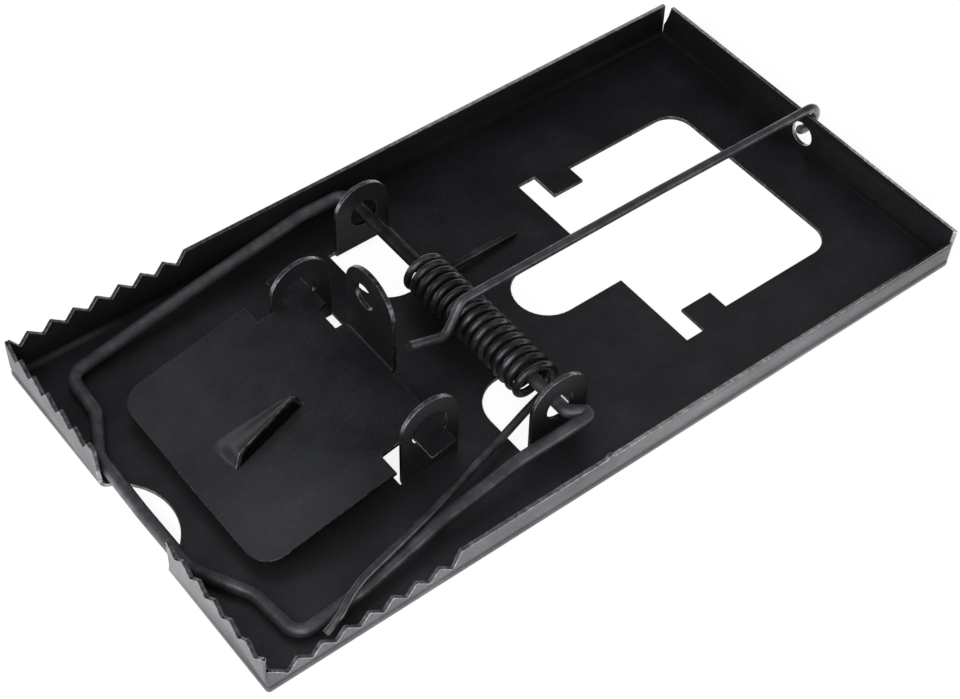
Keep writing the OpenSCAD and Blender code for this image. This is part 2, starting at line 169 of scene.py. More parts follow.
# the camera's place and ways were solved from the tray's corners in the photograph
lens = bpy.data.cameras.new("camera")
lens.sensor_width, lens.lens, lens.clip_start = 36, 74.3175, 0.01
camera = bpy.data.objects.new("camera", lens)
camera_place = Vector((-0.09963, -0.12029, 0.17699))
right = Vector((0.78988226, -0.61296029, 0.01912322))
up = Vector((0.45615240, 0.60808466, 0.64973689))
back = Vector((-0.40989145, -0.50449255, 0.75991859))
camera.matrix_world = Matrix.Translation(camera_place) @ Matrix(
    (right, up, back)).transposed().to_4x4()
bpy.context.scene.collection.objects.link(camera)
bpy.context.scene.camera = camera
bpy.context.scene.view_settings.view_transform = "Standard"

# Pressed tray
# One pressing of thin mild steel, blackened in oil: walls folded up from the
# floor, with teeth cut into their front ends, and four ears lanced out of the floor.

PER_MM = 1000.0  # scale of a pattern whose features are one millimetre wide


def folded(run, radius, turn):
    """Sheet that has run past the start of a fold: how far along, up, and its angle."""
    angle = min(max(run / radius, 0.0), turn)
    rest = run - radius * angle
    return (radius * math.sin(angle) + rest * math.cos(angle),
            radius * (1 - math.cos(angle)) + rest * math.sin(angle), angle)


def arc(cx, cy, radius, start, end, count):
    """Points along an arc, from one angle in degrees to another."""
    return [(cx + radius * math.cos(math.radians(start + (end - start) * i / count)),
             cy + radius * math.sin(math.radians(start + (end - start) * i / count)))
            for i in range(count + 1)]


def grid(x0, x1, y0, y1, step, loops, gap):
    """Even dots over a rectangle that stay a gap away from every cut edge."""
    nx, ny = max(1, round((x1 - x0) / step)), max(1, round((y1 - y0) / step))
    dots = np.array([(x0 + (x1 - x0) * i / nx, y0 + (y1 - y0) * j / ny)
                     for i in range(nx + 1) for j in range(ny + 1)])
    near = np.full(len(dots), 1e9)
    for loop in loops:
        for a, b in zip(loop, loop[1:] + loop[:1]):
            a, b = np.array(a), np.array(b)
            along = np.clip((dots - a) @ (b - a) / max((b - a) @ (b - a), 1e-12), 0, 1)
            near = np.minimum(near, np.linalg.norm(dots - a - along[:, None] * (b - a), axis=1))
    return [tuple(dot) for dot, space in zip(dots, near) if space > gap]


def pressed(name, loops, folds, dots, place, thick, edge):
    """Sheet part from its flat blank in mm: cut loops, fold lines and inner dots.
    place(u, v) bends it: a point of the middle, then the ways of u, v and the top."""
    points, joins = [], []
    for loop in loops:
        first = len(points)
        points += loop
        joins += [(first + i, first + (i + 1) % len(loop)) for i in range(len(loop))]
    sides = [(*points[a], *points[b]) for a, b in joins]
    for a, b in folds:
        joins.append((len(points), len(points) + 1))
        points += [a, b]

    # the blank in triangles; those inside an odd number of cut loops are metal
    flat, _, cuts, *_ = delaunay_2d_cdt(
        [Vector(p) for p in points + dots], joins, [], 0, 1e-5)
    middles = np.array([sum((flat[i] for i in cut), Vector((0, 0))) / 3 for cut in cuts])
    crossed = np.zeros(len(cuts), int)
    for ax, ay, bx, by in sides:
        if ay != by:
            level = (middles[:, 1] > ay) != (middles[:, 1] > by)
            crossed += level & (
                middles[:, 0] < ax + (middles[:, 1] - ay) * (bx - ax) / (by - ay))
    kept = []
    for cut, times in zip(cuts, crossed):
        a, b, c = (flat[i] for i in cut)
        area = (b - a).cross(c - a)
        if times % 2 and abs(area) > 1e-7:
            kept.append(list(cut) if area > 0 else list(cut)[::-1])

    # a side of one triangle alone is a cut edge, and its points know the way out
    halves = {(cut[i], cut[(i + 1) % 3]) for cut in kept for i in range(3)}
    after = {a: b for a, b in halves if (b, a) not in halves}
    before = {b: a for a, b in after.items()}
    outward = {}
    for b, c in after.items():
        come, go = (flat[b] - flat[before[b]]).normalized(), (flat[c] - flat[b]).normalized()
        way = Vector((come.y + go.y, -come.x - go.x))
        outward[b] = way / max(way.length_squared / 2, 0.3)

    spots, normals, spread = [], [], []

    def put(i, inset, level, side, face):
        """Bent point, drawn in from the edge and set off from the sheet's middle."""
        at = flat[i] - outward[i] * inset if inset else flat[i]
        middle, way_u, way_v, top = place(at.x, at.y)
        spots.append((middle + top * level) * 0.001)
        way = outward[i].normalized() if side else Vector((0, 0))
        normals.append(((way_u * way.x + way_v * way.y) * side + top * face).normalized())
        spread.append(((at.x + level) * 0.001, at.y * 0.001))
        return len(spots) - 1

    # both faces of the sheet, and between them the edge with its rounded corners
    half = thick / 2
    used = sorted({i for cut in kept for i in cut})
    upper = {i: put(i, edge if i in after else 0, half, 0, 1) for i in used}
    lower = {i: put(i, edge if i in after else 0, -half, 0, -1) for i in used}
    levels = [upper] + [{i: put(i, *level) for i in after} for level in (
        (0.3 * edge, half - 0.3 * edge, 0.7, 0.7), (0, half - edge, 1, 0),
        (0, edge - half, 1, 0), (0.3 * edge, 0.3 * edge - half, 0.7, -0.7))] + [lower]
    faces = [[upper[i] for i in cut] for cut in kept]
    faces += [[lower[i] for i in reversed(cut)] for cut in kept]
    plain = len(faces)
    for high, low in zip(levels, levels[1:]):
        faces += [(high[a], low[a], low[b], high[b]) for a, b in after.items()]
    made = bpy.data.meshes.new(name)
    made.from_pydata(spots, [], faces)
    made.polygons.foreach_set("material_index", [0] * plain + [1] * (len(faces) - plain))
    made.polygons.foreach_set("use_smooth", [True] * len(faces))
    layer = made.uv_layers.new(name="blank")
    for corner in made.loops:
        layer.data[corner.index].uv = spread[corner.vertex_index]
    made.normals_split_custom_set_from_vertices(normals)
    return made


SATIN = 0.42                      # roughness of the oiled black film
# place of the painted highlight along the far fold
FAR_FOLD_HIGHLIGHT = (0.0, 0.0259, 0.0007)  # foot of the far wall, in metres


# blackened mild steel sheet: near-black oil film in soft clouds, grey where rubbed; painted light,
# shade and a highlight are added
def blackened_sheet(name, tones, seed, way, start, end, lift, fold_highlight):
    """Four tones run from soot to worn steel. The tone darkens from the start of the way to
    its end: painted shade on the tray, and the treadle's plate darker towards its pivot.
    It is paler by lift up high, painted light, and paler along the far fold's front end,
    a painted highlight."""
    soot, deep, mid, worn = tones
    made, tree, out, where = new_finish(name)
    spot = add(tree, "Mapping", None,
               {"Vector": where.outputs["Object"], "Location": (seed, seed * 0.7, 0)})
    cloud = add(tree, "TexNoise", None, {"Vector": spot.outputs[0], "Scale": PER_MM / 11,
                                         "Detail": 5.0, "Roughness": 0.62})
    grain = add(tree, "TexNoise", None, {"Vector": spot.outputs[0], "Scale": PER_MM / 0.35,
                                         "Detail": 3.0, "Roughness": 0.7})
    rolled = add(tree, "Mapping", None, {"Vector": where.outputs["UV"],
                                         "Scale": (PER_MM / 9, PER_MM / 0.22, 1)})
    streak = add(tree, "TexNoise", None, {"Vector": rolled.outputs[0], "Scale": 1.0,
                                          "Detail": 2.0, "Roughness": 0.5})
    mixed = add(tree, "Mix", {"data_type": "FLOAT"}, {
        0: 0.3, 2: cloud.outputs["Fac"], 3: grain.outputs["Fac"]})
    mixed = add(tree, "Mix", {"data_type": "FLOAT"}, {
        0: 0.08, 2: mixed.outputs[0], 3: streak.outputs["Fac"]})
    along = add(tree, "VectorMath", {"operation": "DOT_PRODUCT"},
                {0: where.outputs["Object"], 1: way})
    # painted shade: darker along the way; on the tray the floor darkens towards its far wall and
    # rear
    darker_along_way = add(tree, "MapRange", None, {"Value": along.outputs["Value"], "From Min": start,
                                         "From Max": end, "To Min": 0.08, "To Max": -0.26})
    height = add(tree, "SeparateXYZ", None, {0: where.outputs["Object"]})
    # painted light: paler up the ears and wall tops, by lift, where the low light falls on them
    painted_light_up_high = add(tree, "MapRange", None, {"Value": height.outputs["Z"], "From Min": 0.001,
                                           "From Max": 0.007, "To Min": 0.0, "To Max": lift})
    wear_and_painted_light = add(tree, "Math", {"operation": "ADD"}, {0: mixed.outputs[0], 1: darker_along_way.outputs[0]})
    wear_and_painted_light = add(tree, "Math", {"operation": "ADD"}, {0: wear_and_painted_light.outputs[0], 1: painted_light_up_high.outputs[0]})
    # painted highlight: a pale line along the far fold, kept to its front end
    across = add(tree, "VectorMath", {"operation": "MULTIPLY"},
                 {0: where.outputs["Object"], 1: (0.0, 1.0, 1.0)})
    off = add(tree, "VectorMath", {"operation": "DISTANCE"},
              {0: across.outputs[0], 1: FAR_FOLD_HIGHLIGHT})
    painted_fold_highlight = add(tree, "MapRange", None, {"Value": off.outputs["Value"], "From Min": 0.0002,
                                        "From Max": 0.0007, "To Min": fold_highlight, "To Max": 0.0})
    highlight_front_part = add(tree, "MapRange", None, {"Value": height.outputs["X"], "From Min": -0.040,
                                             "From Max": -0.035, "To Min": 1.0, "To Max": 0.0})
    wear_and_painted_light = add(tree, "Math", {"operation": "MULTIPLY_ADD"},
               {0: painted_fold_highlight.outputs[0], 1: highlight_front_part.outputs[0], 2: wear_and_painted_light.outputs[0]})
    tone = add(tree, "ValToRGB", {"stops": [(0.22, colour(soot)), (0.38, colour(deep)),
                                            (0.52, colour(mid)), (0.66, colour(worn)),
                                            (0.86, colour("#78797c"))]},
               {"Fac": wear_and_painted_light.outputs[0]})
    rough = add(tree, "MapRange", None, {
        "Value": mixed.outputs[0], "From Min": 0.35, "From Max": 0.65,
        "To Min": SATIN + 0.06, "To Max": SATIN - 0.06})
    wavy = add(tree, "TexNoise", None, {"Vector": spot.outputs[0], "Scale": PER_MM / 13,
                                        "Detail": 1.0})
    dents = add(tree, "Bump", None, {"Height": wavy.outputs["Fac"], "Distance": 0.00035,
                                     "Strength": 0.6})
    skin = add(tree, "Bump", None, {"Height": grain.outputs["Fac"], "Distance": 0.00002,
                                    "Strength": 0.5, "Normal": dents.outputs[0]})
    metal = add(tree, "BsdfPrincipled", None, {
        "Base Color": tone.outputs[0], "Metallic": 0.75, "Roughness": rough.outputs[0],
        "Normal": skin.outputs[0]})
    tree.links.new(metal.outputs[0], out.inputs["Surface"])
    return made


# sheared edge: bare steel where the punch parted the sheet, finely torn and brighter
def sheared_edge(name, dull, bright, measure, place, start, end):
    """The edge is rubbed bright up to start and dull past end, as measured by the
    DISTANCE from a place or by the DOT_PRODUCT with a way."""
    made, tree, out, where = new_finish(name)
    torn = add(tree, "TexNoise", None, {"Vector": where.outputs["Object"],
                                        "Scale": PER_MM / 0.6, "Detail": 4.0,
                                        "Roughness": 0.7})
    far = add(tree, "VectorMath", {"operation": measure},
              {0: where.outputs["Object"], 1: place})
    rubbed = add(tree, "MapRange", None, {"Value": far.outputs["Value"], "From Min": start,
                                          "From Max": end, "To Min": 0.14, "To Max": 0.0})
    worn = add(tree, "Math", {"operation": "ADD"},
               {0: torn.outputs["Fac"], 1: rubbed.outputs[0]})
    tone = add(tree, "ValToRGB", {"stops": [(0.38, colour(dull)), (0.62, colour(bright)),
                                            (0.86, colour("#d9dadb"))]},
               {"Fac": worn.outputs[0]})
    skin = add(tree, "Bump", None, {"Height": torn.outputs["Fac"], "Distance": 0.00006,
                                    "Strength": 0.6})
    metal = add(tree, "BsdfPrincipled", None, {
        "Base Color": tone.outputs[0], "Metallic": 1.0, "Roughness": 0.34,
        "Normal": skin.outputs[0]})
    tree.links.new(metal.outputs[0], out.inputs["Surface"])
    return made


# the tray gets painted light up high, a painted highlight at the far fold, and painted shade
tray_steel = blackened_sheet(
    "blackened mild steel sheet", ("#36373a", "#48494c", "#545558", "#606164"), seed=0.0,
    way=(0.35, 1.0, 0.0), start=-0.036, end=0.034, lift=0.16, fold_highlight=0.5)
tray_edge = sheared_edge(
    "sheared edge of the tray", "#626366", "#9d9ea0", "DOT_PRODUCT", (0.0, 1.0, 0.0),
    start=-0.0262, end=-0.0252)

SHEET = 0.55                      # thickness
BEND = 0.30                       # radius of a fold, at the middle of the sheet
ROLL = BEND * math.pi / 2         # sheet used up by a square fold
HALF_X, HALF_Y = 50.0, 26.6       # half sizes of the tray over its walls
FLAT_X = HALF_X - SHEET / 2 - BEND   # half length of the floor, up to its folds
FLAT_Y = HALF_Y - SHEET / 2 - BEND
SLIT_FOOT = ROLL + 0.65           # where the slit between two walls begins
SWELL, WAVE = 0.025, 17           # how far the sheet is out of flat, over what width
FLOOR_PART, CLIMB = 0.6, 0.25     # part of the swell on the floor, and more up a wall
LEAN = 0.35                       # how far the rear wall's two ends lean out
LEAN_FROM, LEAN_OVER = 10, 14     # distance from its middle where that sets in, and run
BURR = 0.07                       # how far a sheared edge is rounded
HAIR = 0.01                       # kept off the thickness, for the sheet to swell in


def rise(z):
    """Sheet from the start of a fold up to a height on the wall."""
    return ROLL + z - SHEET / 2 - BEND


TALL, LOW = rise(6.1), rise(4.05)  # the near wall is the low one
# an ear's middle, its face, the side it stands on, its width and height, the radius
# and place of its bore, and how far its slot runs on ahead of it
Ear = namedtuple("Ear", "middle face side width height bore bore_x bore_z ahead")
EARS = [Ear(-5.15, 19.2, 1, 7.9, 10.2, 1.9, 0.15, 5.47, 0.9),
        Ear(-5.0, -17.8, -1, 8.2, 10.2, 1.9, 0.0, 5.47, 0.9),
        Ear(-19.1, 11.8, 1, 8.3, 12.0, 2.4, -0.3, 7.3, 0.3),
        Ear(-19.3, -12.8, -1, 7.9, 12.0, 2.4, -0.1, 7.3, 0.3)]
NICK = 0.12                       # shear gap behind each ear
CLOSE = 0.04                      # a point this near an ear's edge still bends with it


def eased(x):
    """Smooth step from 0 to 1."""
    x = min(max(x, 0.0), 1.0)
    return x * x * (3 - 2 * x)


def on_ear(u, v, ear):
    """Sheet run past the root of an ear, or nothing off it."""
    across, run = u - ear.middle, SHEET / 2 + BEND - ear.side * (v - ear.face)
    round_at = rise(ear.height - ear.width / 2)
    if run < 1e-6 or not -ear.width / 2 - CLOSE < across < ear.width / 2 - NICK + CLOSE:
        return None
    if run > round_at and math.hypot(across + NICK / 2, run - round_at) > (
            ear.width - NICK) / 2 + CLOSE:
        return None
    return run


def tray_place(u, v):
    """Where a point of the tray's blank lies once ears and walls are folded up."""
    for ear in EARS:
        run = on_ear(u, v, ear)
        if run is not None:
            along, lift, a = folded(run, BEND, math.pi / 2)
            y = ear.face + ear.side * (SHEET / 2 + BEND - along)
            return (Vector((u, y, SHEET / 2 + lift)), Vector((1, 0, 0)),
                    Vector((0, math.cos(a), -ear.side * math.sin(a))),
                    Vector((0, ear.side * math.sin(a), math.cos(a))))
    p, q = abs(u) - FLAT_X, abs(v) - FLAT_Y
    swell = SWELL * (1 + noise.noise(Vector((u / WAVE, v / WAVE, 4.2))))
    if p <= 0 and q <= 0:
        return (Vector((u, v, SHEET / 2 + swell * FLOOR_PART)), Vector((1, 0, 0)),
                Vector((0, 1, 0)), Vector((0, 0, 1)))
    sx, sy = math.copysign(1, u), math.copysign(1, v)
    if q >= p:
        run, turn = q, math.pi / 4 * max(p, 0) / q
    else:
        run, turn = p, math.pi / 2 - math.pi / 4 * max(q, 0) / p
    along, lift, a = folded(run, BEND, math.pi / 2)
    ex, ey = sx * math.sin(turn), sy * math.cos(turn)
    inward = swell * (FLOOR_PART + min(max(run - ROLL, 0), 4) * CLIMB)
    if u > 0 and p > q:
        leaning = eased((abs(v) - LEAN_FROM) / LEAN_OVER)
        inward -= LEAN * leaning * max(run - SLIT_FOOT, 0) / TALL
    top = Vector((-ex * math.sin(a), -ey * math.sin(a), math.cos(a)))
    climb = Vector((ex * math.cos(a), ey * math.cos(a), math.sin(a)))
    sweep = Vector((sx * math.cos(turn), -sy * math.sin(turn), 0))
    spot = Vector((min(max(u, -FLAT_X), FLAT_X) + ex * along,
                   min(max(v, -FLAT_Y), FLAT_Y) + ey * along, SHEET / 2 + lift)) + top * inward
    return ((spot, sweep * sx, climb * sy, top) if q >= p
            else (spot, climb * sx, sweep * -sy, top))


def slit_side(wall, sx, sy, along_x):
    """Edge of a wall at a corner slit, from its foot up to the top of the wall.
    Its top reaches into the corner by a share of the wall. The slits are all but
    shut, save the one at the far rear corner, which gapes in a curve."""
    if sx < 0:
        reach, power = 0.93, 1
    elif sy < 0:
        reach, power = 0.9, 1
    else:
        reach, power = 0.04 if along_x else -0.14, 3
    side = []
    for i in range(7):
        run = SLIT_FOOT + (wall - SLIT_FOOT) * i / 6
        turned = reach * wall * i / 6 + SLIT_FOOT * (1 - i / 6) ** power
        p, q = (turned, run) if along_x else (run, turned)
        side.append((sx * (FLAT_X + p), sy * (FLAT_Y + q)))
    return side


PITCH = 3.0                       # from one tooth to the next
VALLEY, TIP = (1.35, 1.2), 0.08   # flat of a valley ahead of its tip, half flat of a tip
EDGE_START = (0.85, 0.2)          # first point of a toothed edge: off the corner, down


def teeth(count, first, low_tip, valley):
    """Distance from the corner and cut-down depth of each point of a toothed edge."""
    marks = [EDGE_START]
    for i in range(count):
        tip, cut = first + i * PITCH, low_tip if i < count - 1 else 0.0
        marks += [(tip - VALLEY[0], valley), (tip - VALLEY[1], valley), (tip - TIP, cut),
                  (tip + TIP, cut)]
    return marks


BUMP_X, BUMP_Z, BUMP_R = -4.4, 3.91, 0.55  # low bump on the near wall beside the axle
near = [(d - HALF_X, -FLAT_Y - LOW + cut)
        for d, cut in teeth(8, first=4.0, low_tip=0.75, valley=2.15)]
near += [(x, -FLAT_Y - rise(BUMP_Z + z)) for x, z in arc(BUMP_X, 0, BUMP_R, 165, 15, 8)]
far = [(d - HALF_X, FLAT_Y + TALL - cut)
       for d, cut in teeth(8, first=3.1, low_tip=0.25, valley=1.6)]
front = [(-FLAT_X - TALL + cut, HALF_Y - d)
         for d, cut in teeth(6, first=3.55, low_tip=0.25, valley=1.7)]

# the front wall is notched for the bail's bar, and the notch runs on into the floor
NOTCH_X, NOTCH_Y, NOTCH_Z, NOTCH_R = -52.7, -0.5, 2.7, 7.4
STEPS = (NOTCH_Z, 2.3, 1.9, 1.5, 1.15, 0.85)  # heights at which its round sides bend


def notch_half(away):
    """Half width of the round notch, away from its widest line."""
    return math.sqrt(NOTCH_R ** 2 - away ** 2)


above, below = notch_half(NOTCH_Z - STEPS[-1]), notch_half(NOTCH_X + FLAT_X)
notch = [(-FLAT_X - TALL, NOTCH_Y + NOTCH_R), (-FLAT_X - rise(4), NOTCH_Y + NOTCH_R)]
notch += [(-FLAT_X - rise(z), NOTCH_Y + notch_half(NOTCH_Z - z)) for z in STEPS]
notch += [(-FLAT_X - ROLL * (1 - k / 6), NOTCH_Y + above + (below - above) * k / 6)
          for k in range(1, 6)]
notch += arc(NOTCH_X, NOTCH_Y, NOTCH_R, math.degrees(math.asin(below / NOTCH_R)), 0, 18)
notch += [(x, 2 * NOTCH_Y - y) for x, y in notch[-2::-1]]
outline = slit_side(LOW, -1, -1, True) + near + slit_side(LOW, 1, -1, True)[::-1]
outline += slit_side(TALL, 1, -1, False)[1:] + slit_side(TALL, 1, 1, False)[::-1]
outline += slit_side(TALL, 1, 1, True)[1:] + far[::-1] + slit_side(TALL, -1, 1, True)[::-1]
outline += slit_side(TALL, -1, 1, False)[1:] + front + notch
outline += [(x, -y) for x, y in front[::-1]] + slit_side(TALL, -1, -1, False)[:0:-1]

# the treadle and its tongue were punched out of the rear of the floor
TONGUE_X, TONGUE_Y, TONGUE_R = 7.95, -0.3, 4.35
TAB_FRONT, TAB_REAR, PLATE_REAR = 16, 18.7, 23.3
CORNER_X, CORNER_R = 38, 3.2      # round front corners of the plate, which lay rearmost
cutout = arc(TONGUE_X, TONGUE_Y, TONGUE_R, 270, 90, 16)
cutout += [(TAB_FRONT, TONGUE_Y + TONGUE_R), (TAB_FRONT, 15.45), (TAB_REAR, 15.45)]
cutout += [(TAB_REAR, 11.4), (PLATE_REAR, 11.4), (PLATE_REAR, 14.2)]
cutout += arc(CORNER_X, 11, CORNER_R, 90, 0, 8) + arc(CORNER_X, -12.2, CORNER_R, 0, -90, 8)
cutout += [(PLATE_REAR, -15.4), (PLATE_REAR, -12.6), (TAB_REAR, -12.6)]
cutout += [(TAB_REAR, -16.65), (TAB_FRONT, -16.65), (TAB_FRONT, TONGUE_Y - TONGUE_R)]
HOLE_Z, HOLE_Y, HOLE_R = 3.0, -0.8, 1.7  # hole in the rear wall for the rod's hook
hook_hole = arc(FLAT_X + rise(HOLE_Z), HOLE_Y, HOLE_R, 0, 345, 23)
loops = [outline, cutout, hook_hole]
folds = []
root = SHEET / 2 + BEND           # where an ear's fold begins, behind its face
for ear in EARS:
    half, reach, wide = ear.width / 2, ear.height - ear.width / 2, (ear.width + ear.ahead) / 2
    slot = [(-half - ear.ahead, 0)] + arc(-ear.ahead / 2, reach, wide, 180, 0, 20)
    slot += [(half, 0), (half - NICK, 0)]
    slot += arc(-NICK / 2, rise(reach), half - NICK / 2, 0, 180, 20) + [(-half, 0)]
    loops.append([(ear.middle + x, ear.face + ear.side * (root - run)) for x, run in slot])
    loops.append([(ear.middle + ear.bore_x + x,
                   ear.face + ear.side * (root - rise(ear.bore_z) - y))
                  for x, y in arc(0, 0, ear.bore, 0, 352.5, 47)])
    for k in range(7):
        v = ear.face + ear.side * (root - ROLL * k / 6)
        folds.append(((ear.middle - half, v), (ear.middle + half - NICK, v)))
rows = [ROLL * k / 6 for k in range(7)] + [ROLL + 0.32, SLIT_FOOT]
for run in rows:
    x, y = FLAT_X + run, FLAT_Y + run
    folds += [((-x, -y), (x, -y)), ((x, -y), (x, y)), ((x, y), (-x, y)), ((-x, y), (-x, -y))]
# dots let the floor swell and the folds turn round the corners
dots = grid(-48, 48, -25, 25, step=4, loops=loops, gap=0.6)
for sx in (-1, 1):
    for sy in (-1, 1):
        for run in rows[1:-1]:
            for part in (0.2, 0.4, 0.6, 0.8):
                dots += [(sx * (FLAT_X + run * part), sy * (FLAT_Y + run)),
                         (sx * (FLAT_X + run), sy * (FLAT_Y + run * part))]
        for wall, along_x in ((LOW if sy < 0 else TALL, True), (TALL, False)):
            for x, y in slit_side(wall, sx, sy, along_x)[1:6]:
                for part in (0, 0.2, 0.4, 0.6, 0.8):
                    dots.append((sx * FLAT_X + (x - sx * FLAT_X) * (part if along_x else 1),
                                 sy * FLAT_Y + (y - sy * FLAT_Y) * (1 if along_x else part)))
tray = new_piece("pressed_tray", pressed("pressed_tray", loops, folds, dots, tray_place,
                                         SHEET - HAIR, BURR), tray_steel, tray_edge)
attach(tray, "base")
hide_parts("base_tray")

# Treadle
# A stamping of the same sheet that rocks on two tabs in its ears. A louver is
# raised in its plate for the bait, and its tongue stands up as the rod's catch.

# the treadle's plate darkens towards its pivot
treadle_steel = blackened_sheet(
    "blackened treadle steel", ("#323336", "#494a4d", "#58595c", "#646568"), seed=0.31,
    way=(1.0, 0.0, 0.0), start=-0.036, end=-0.020, lift=0.0, fold_highlight=0.0)
LOUVER_FOOT = (-0.033, -0.0015, 0.0055)  # middle of the louver's edge, in metres
treadle_edge = sheared_edge(
    "sheared edge of the treadle", "#3e3f42", "#737477", "DISTANCE", LOUVER_FOOT,
    start=0.0065, end=0.0080)

# places on the treadle are in millimetres from its pivot, with the plate level
PIVOT, TILT = Vector((-19.5, -0.5, 7.2)), math.radians(11.4)
REAR = 1.35                       # rear edge of the pivot tabs, behind the pivot
TAB = -2.05                       # front edge of the pivot tabs
TAB_END, TAB_ROOT = 16.05, 12     # reach of the pivot tabs across, and of their root
PLATE_BACK, PLATE_FRONT = -5.95, -23.85
PLATE_HALF = 14.8                 # half width of the plate
NECK = 0.575                      # radius of the fold up into the tongue
CATCH_Y, CATCH_HIGH = 0.3, 11.57  # middle of the tongue, and its height past the fold
CATCH_BORE = 1.65                 # radius of the hole in the tongue
SLIT_A, SLIT_B = Vector((-18.8, -2.45)), Vector((-8.45, -0.55))
slit_run = (SLIT_B - SLIT_A).normalized()
slit_side_way = Vector((-slit_run.y, slit_run.x))
SLIT_LONG, SLIT_HALF = (SLIT_B - SLIT_A).length, 0.05
LOUVER_WIDE, LOUVER_HIGH = 5.4, 1.8
LOUVER_TAPER, LOUVER_CLIMB = 0.66, 0.055  # how it narrows and climbs towards the pivot
LOUVER_ENDS = 1.5, 0.8            # how far its front and rear ends run out


def louver(u, v):
    """Height of the louver over the plate; its open edge stands over the slit."""
    run = (Vector((u, v)) - SLIT_A).dot(slit_run)
    off = (Vector((u, v)) - SLIT_A).dot(slit_side_way)
    if off < 0 or not 0 < run < SLIT_LONG or off > LOUVER_WIDE:
        return 0.0
    end = eased(run / LOUVER_ENDS[0]) * eased((SLIT_LONG - run) / LOUVER_ENDS[1])
    wide = LOUVER_WIDE * (1 - LOUVER_TAPER * run / SLIT_LONG)
    return (LOUVER_HIGH + LOUVER_CLIMB * run) * end * (1 - eased(off / wide))


def treadle_place(u, v):
    """Where a point of the treadle's blank lies once it is pressed and tilted."""
    way_u, way_v, top = Vector((1, 0, 0)), Vector((0, 1, 0)), Vector((0, 0, 1))
    spot = Vector((u, v, 0))
    if u > REAR:
        along, lift, a = folded(u - REAR, NECK, math.pi / 2 - TILT)
        spot = Vector((REAR + along, v, lift))
        way_u = Vector((math.cos(a), 0, math.sin(a)))
        top = Vector((-math.sin(a), 0, math.cos(a)))
    else:
        high = louver(u, v)
        if high > 0:
            step = 0.02
            off = slit_side_way * step
            rise_u = (louver(u + step, v) - louver(u - step, v)) / (2 * step)
            rise_v = (louver(u + off.x, v + off.y) - high) / step
            spot.z = high
            top = (top - way_u * rise_u - way_v * rise_v).normalized()
            way_u = (way_u + Vector((0, 0, rise_u))).normalized()
            way_v = (way_v + Vector((0, 0, rise_v))).normalized()
    tilt = Matrix.Rotation(-TILT, 3, "Y")
    return PIVOT + tilt @ spot, tilt @ way_u, tilt @ way_v, tilt @ top


curl = NECK * (math.pi / 2 - TILT)  # sheet used up by the fold
tongue = curl + CATCH_HIGH
blank = [(REAR, -TAB_END), (REAR, CATCH_Y - TONGUE_R)]
blank += arc(REAR + tongue - TONGUE_R, CATCH_Y, TONGUE_R, -90, 90, 20)
# a nick beside the tongue lets it bend clear of the tab
blank += [(REAR, CATCH_Y + TONGUE_R), (REAR, 4.95), (0.2, 5.1), (0.2, 8.6), (REAR, 8.75)]
blank += [(REAR, TAB_END), (TAB, TAB_END), (TAB, TAB_ROOT), (PLATE_BACK, TAB_ROOT)]
blank += [(PLATE_BACK, PLATE_HALF)]
blank += arc(PLATE_FRONT + CORNER_R, PLATE_HALF - CORNER_R, CORNER_R, 90, 180, 8)
blank += arc(PLATE_FRONT + CORNER_R, CORNER_R - PLATE_HALF, CORNER_R, 180, 270, 8)
blank += [(PLATE_BACK, -PLATE_HALF), (PLATE_BACK, -TAB_ROOT), (TAB, -TAB_ROOT)]
blank += [(TAB, -TAB_END)]
there = np.linspace(SLIT_HALF, SLIT_LONG - SLIT_HALF, 40)
slit = [(t, SLIT_HALF) for t in there] + [(t, -SLIT_HALF) for t in there[::-1]]
slit = [tuple(SLIT_A + slit_run * t + slit_side_way * w) for t, w in slit]
hole = arc(REAR + tongue - 4.2, 1.1, CATCH_BORE, 0, 352.5, 47)
loops = [blank, slit, hole]
folds = [((REAR + curl * k / 6, CATCH_Y - TONGUE_R), (REAR + curl * k / 6, CATCH_Y + TONGUE_R))
         for k in range(7)]
# closer dots where the louver rises out of the plate
dots = grid(-20.2, -6.8, -3.5, 6.7, step=0.32, loops=loops, gap=0.16)
treadle = new_piece("treadle_plate", pressed("treadle_plate", loops, folds, dots,
                                             treadle_place, SHEET, BURR),
                    treadle_steel, treadle_edge)
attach(treadle, "treadle")
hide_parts("treadle")

# Bail
# One length of hard-drawn wire: its two ends meet as the axle inside the coil, and
# its front bar is joggled forward. The near end is turned back round its ear.


def bent(marks):
    """Wire through (x, y, z, bend radius) marks, in mm, with its bends laid round."""
    points = [Vector(m[:3]) for m in marks]
    line = [points[0]]
    for i in range(1, len(points) - 1):
        come = (points[i] - points[i - 1]).normalized()
        go = (points[i + 1] - points[i]).normalized()
        turn = come.angle(go, 0.0)
        if turn < 0.02:
            line.append(points[i])
            continue
        trim = min(marks[i][3] * math.tan(turn / 2), 0.49 * (points[i] - points[i - 1]).length,
                   0.49 * (points[i + 1] - points[i]).length)
        radius = trim / math.tan(turn / 2)
        centre = points[i] + (go - come).normalized() * radius / math.cos(turn / 2)
        start = points[i] - come * trim - centre
        axis = come.cross(go).normalized()
        count = max(2, round(math.degrees(turn) / 8))
        line += [centre + Matrix.Rotation(turn * k / count, 3, axis) @ start
                 for k in range(count + 1)]
    return line + [points[-1]]


